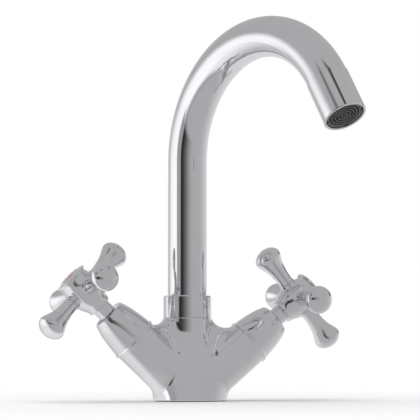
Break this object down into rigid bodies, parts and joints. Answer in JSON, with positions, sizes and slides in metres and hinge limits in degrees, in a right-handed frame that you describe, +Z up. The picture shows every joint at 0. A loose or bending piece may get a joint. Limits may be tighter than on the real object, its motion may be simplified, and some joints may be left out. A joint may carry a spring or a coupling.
{
  "type": "basin mixer tap",
  "caption": "Two-handle basin mixer tap with a swivelling swan-neck spout, an aerator and cross handles on a Y-shaped body.",
  "frame": {"origin": "centre of the round base, on the deck plane that its gasket rests on", "axes": "+Z up along the column, -Y towards the user, +X to the user's right, the cold side"},
  "size_m": [0.2004, 0.1771, 0.2356],
  "materials": {
    "chrome": "polished chrome plate on brass",
    "rubber": "black rubber",
    "brass": "machined brass",
    "acetal": "natural acetal",
    "aerator_plastic": "grey moulded plastic",
    "steel": "stainless steel",
    "ceramic": "lapped white alumina",
    "red_index": "red index under a clear glossy face",
    "blue_index": "blue index under a clear glossy face"
  },
  "bodies": {
    "root": {"body": "chrome", "base_gasket": "rubber", "collar_ring": "chrome", "lower_slip_washer": "acetal", "upper_slip_washer": "acetal", "hot_shroud": "chrome", "hot_headwork": "brass", "hot_headwork_seal": "rubber", "hot_fixed_disc": "ceramic", "hot_seat_seal": "rubber", "cold_shroud": "chrome", "cold_headwork": "brass", "cold_headwork_seal": "rubber", "cold_fixed_disc": "ceramic", "cold_seat_seal": "rubber"},
    "spout": {"spout_tube": "chrome", "outlet_sleeve": "chrome", "aerator_washer": "rubber", "aerator_housing": "aerator_plastic", "aerator_core": "acetal", "aerator_screen": "steel", "aerator_grille": "aerator_plastic", "spout_spigot": "brass", "spout_o_rings": "rubber"},
    "hot_handle": {"hot_handle_hub": "chrome", "hot_handle_arms": "chrome", "hot_handle_screw": "steel", "hot_index_cap": "chrome", "hot_index_disc": "red_index", "hot_stem_sleeve": "chrome", "hot_spindle": "brass", "hot_spindle_o_ring": "rubber", "hot_spindle_circlip": "steel", "hot_moving_disc": "ceramic"},
    "cold_handle": {"cold_handle_hub": "chrome", "cold_handle_arms": "chrome", "cold_handle_screw": "steel", "cold_index_cap": "chrome", "cold_index_disc": "blue_index", "cold_stem_sleeve": "chrome", "cold_spindle": "brass", "cold_spindle_o_ring": "rubber", "cold_spindle_circlip": "steel", "cold_moving_disc": "ceramic"}
  },
  "joints": [
    {"name": "spout_swivel", "type": "hinge", "parent": "root", "child": "spout", "pos_m": [0, 0.007, 0.0525], "axis": [0, 0, 1], "continuous": true},
    {"name": "hot_turn", "type": "hinge", "parent": "root", "child": "hot_handle", "pos_m": [-0.0362, 0, 0.03796], "axis": [-0.7314, 0, 0.682], "range_deg": [0, 180]},
    {"name": "cold_turn", "type": "hinge", "parent": "root", "child": "cold_handle", "pos_m": [0.03775, 0, 0.03622], "axis": [0.7627, 0, 0.6468], "range_deg": [0, 180]}
  ]
}
